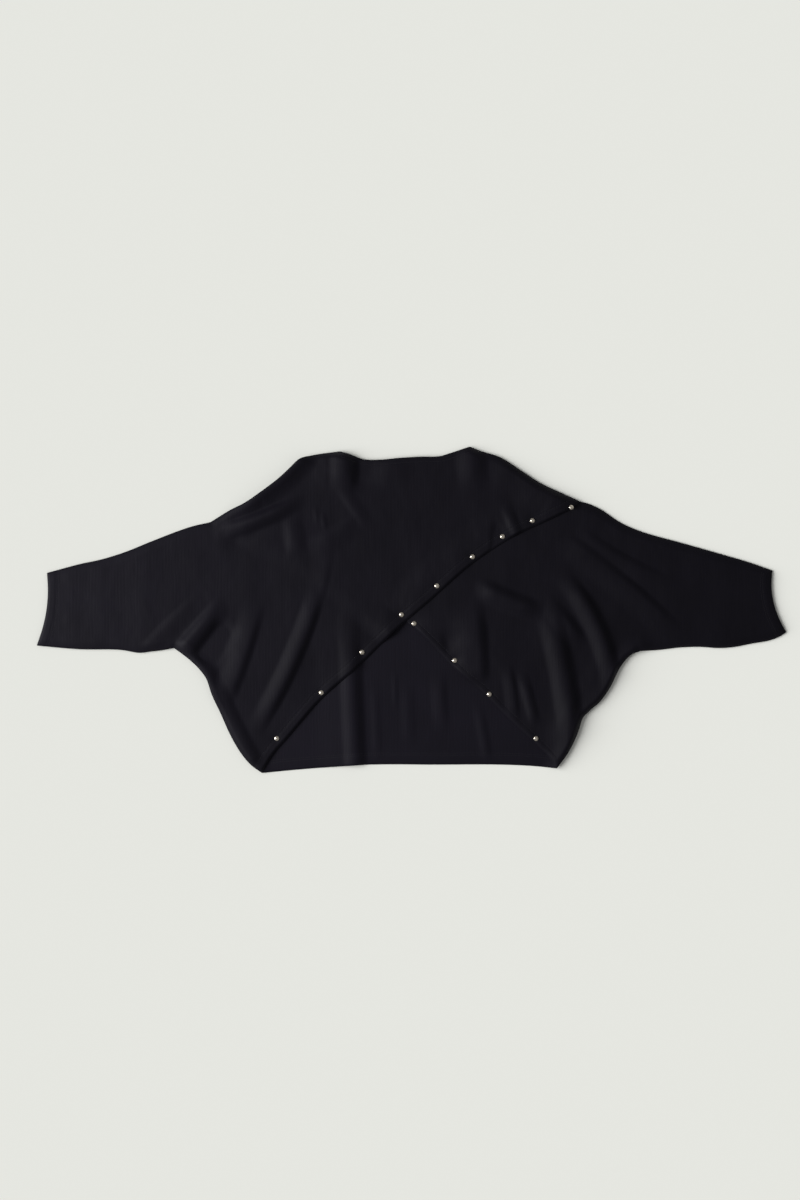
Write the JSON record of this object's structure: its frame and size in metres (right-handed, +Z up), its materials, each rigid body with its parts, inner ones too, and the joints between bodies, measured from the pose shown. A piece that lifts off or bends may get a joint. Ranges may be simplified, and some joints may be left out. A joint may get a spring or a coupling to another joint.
{
  "type": "wrap sweater",
  "caption": "Cropped jersey sweater with dolman sleeves and crossed fronts edged with domed studs, laid flat on its back.",
  "frame": {"origin": "on the surface the sweater lies on, under the middle of its outline's box", "axes": "+X from the wrap's own sleeve to the other sleeve, +Y from the hem to the neck, +Z up from the surface, out of the fronts"},
  "size_m": [1.258, 0.5462, 0.0204],
  "materials": {
    "black_jersey": "fine black jersey knit with upright wales, matt with a slight sheen",
    "stud_metal": "polished pale metal"
  },
  "bodies": {
    "root": {"back": "black_jersey", "front_under": "black_jersey", "front_wrap": "black_jersey", "wrap_stud_1": "stud_metal", "wrap_stud_2": "stud_metal", "wrap_stud_3": "stud_metal", "wrap_stud_4": "stud_metal", "wrap_stud_5": "stud_metal", "wrap_stud_6": "stud_metal", "wrap_stud_7": "stud_metal", "wrap_stud_8": "stud_metal", "wrap_stud_9": "stud_metal", "under_stud_1": "stud_metal", "under_stud_2": "stud_metal", "under_stud_3": "stud_metal", "under_stud_4": "stud_metal"}
  },
  "joints": []
}
